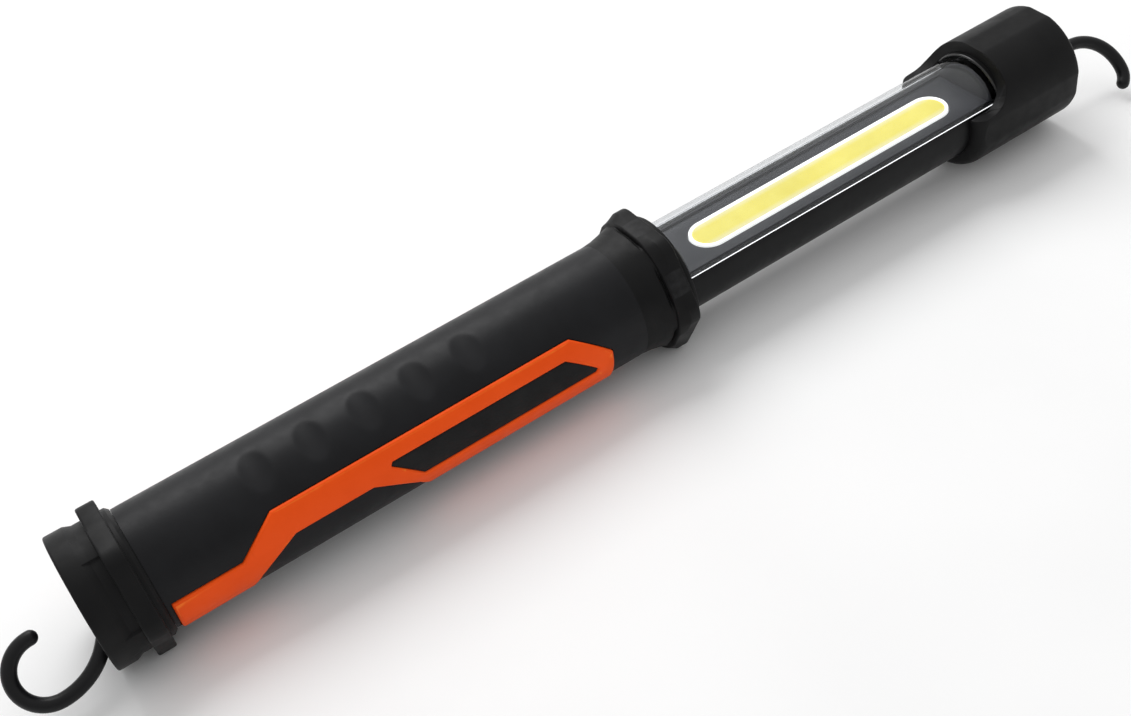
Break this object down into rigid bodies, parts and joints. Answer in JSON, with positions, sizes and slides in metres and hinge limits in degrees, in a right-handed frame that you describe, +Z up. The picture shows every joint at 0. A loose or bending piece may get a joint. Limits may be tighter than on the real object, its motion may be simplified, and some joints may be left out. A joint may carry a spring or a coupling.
{
  "type": "work light",
  "caption": "Cordless stick work light: round soft-grip handle with orange side inlays, long LED strip under a half-round clear lens, rubber end caps, and a swivelling tilting hook at each end.",
  "frame": {"origin": "on the floor, under the centre of the whole light's box", "axes": "+X along the light from base to head, +Z up out of the lens, the side inlays face -Y and +Y; the light lies on the back flats of its two anti-roll rings"},
  "size_m": [0.5108, 0.058, 0.0524],
  "materials": {
    "black_rubber": "satin moulded rubber",
    "soft_grip": "soft-touch matt",
    "orange_plastic": "satin moulded plastic",
    "black_plastic": "satin moulded plastic",
    "hub_plastic": "satin moulded plastic",
    "hook_wire": "semi-gloss black coating",
    "bright_steel": "bright",
    "clear_lens": "clear polycarbonate",
    "tray_grey": "satin",
    "strip_white": "matt silicone",
    "phosphor": "matt, lit",
    "board_green": "satin solder mask",
    "aluminium": "extruded",
    "cell_wrap": "shrink wrap",
    "contact_brass": "plated",
    "lead_red": "insulation",
    "indicator": "clear light pipe",
    "gasket": "gloss rubber"
  },
  "bodies": {
    "light_body": {"base_boot": "black_rubber", "base_gasket": "gasket", "base_end_cup": "black_plastic", "base_cup_screws": "bright_steel", "handle_core": "black_plastic", "grip_sleeve": "soft_grip", "switch_bezel": "black_rubber", "switch_body": "black_plastic", "driver_board": "board_green", "charge_indicators": "indicator", "charge_board": "board_green", "charging_socket": "bright_steel", "port_cover_pin": "bright_steel", "battery_cells": "cell_wrap", "cell_terminals": "contact_brass", "battery_holder": "black_plastic", "battery_contacts": "contact_brass", "battery_leads": "lead_red", "neck_coupling": "black_plastic", "neck_screws": "bright_steel", "front_collar": "black_rubber", "neck_gasket": "gasket", "head_housing": "black_plastic", "heatsink": "aluminium", "cob_board": "aluminium", "cob_dam": "strip_white", "cob_phosphor": "phosphor", "reflector_tray": "tray_grey", "lens": "clear_lens", "cob_leads": "lead_red", "front_seal": "gasket", "head_cap": "black_rubber", "head_end_cup": "black_plastic", "head_cup_screws": "bright_steel", "side_inlay_left": "orange_plastic", "side_inlay_right": "orange_plastic", "window_panel_left": "black_plastic", "window_panel_right": "black_plastic", "lower_panel_left": "soft_grip", "lower_panel_right": "soft_grip"},
    "base_swivel_hub": {"base_hook_hub": "hub_plastic", "base_hook_pin": "bright_steel", "base_hub_clip": "bright_steel"},
    "base_hook": {"base_hook": "hook_wire"},
    "head_swivel_hub": {"head_hook_hub": "hub_plastic", "head_hook_pin": "bright_steel", "head_hub_clip": "bright_steel"},
    "head_hook": {"head_hook": "hook_wire"},
    "switch": {"switch_button": "orange_plastic", "switch_plunger": "hub_plastic"},
    "port_flap": {"port_cover": "black_rubber"}
  },
  "joints": [
    {"name": "base_swivel", "type": "hinge", "parent": "light_body", "child": "base_swivel_hub", "pos_m": [-0.2101, 0, 0.0262], "axis": [1, 0, 0], "continuous": true},
    {"name": "base_hook_tilt", "type": "hinge", "parent": "base_swivel_hub", "child": "base_hook", "pos_m": [-0.2101, 0, 0.0262], "axis": [0, 0.7193, -0.6947], "range_deg": [0, 56]},
    {"name": "head_swivel", "type": "hinge", "parent": "light_body", "child": "head_swivel_hub", "pos_m": [0.2049, 0, 0.0262], "axis": [1, 0, 0], "continuous": true},
    {"name": "head_hook_tilt", "type": "hinge", "parent": "head_swivel_hub", "child": "head_hook", "pos_m": [0.2049, 0, 0.0262], "axis": [0, 0.7193, -0.6947], "range_deg": [-42, 34]},
    {"name": "switch_press", "type": "slide", "parent": "light_body", "child": "switch", "axis": [0, 0, 1], "range_m": [0, 0.0008], "stiffness_N_per_m": 400, "springref_m": -0.004},
    {"name": "port_flap_hinge", "type": "hinge", "parent": "light_body", "child": "port_flap", "pos_m": [-0.1771, 0, 0.0042], "axis": [0, -1, 0], "range_deg": [0, 92]}
  ]
}
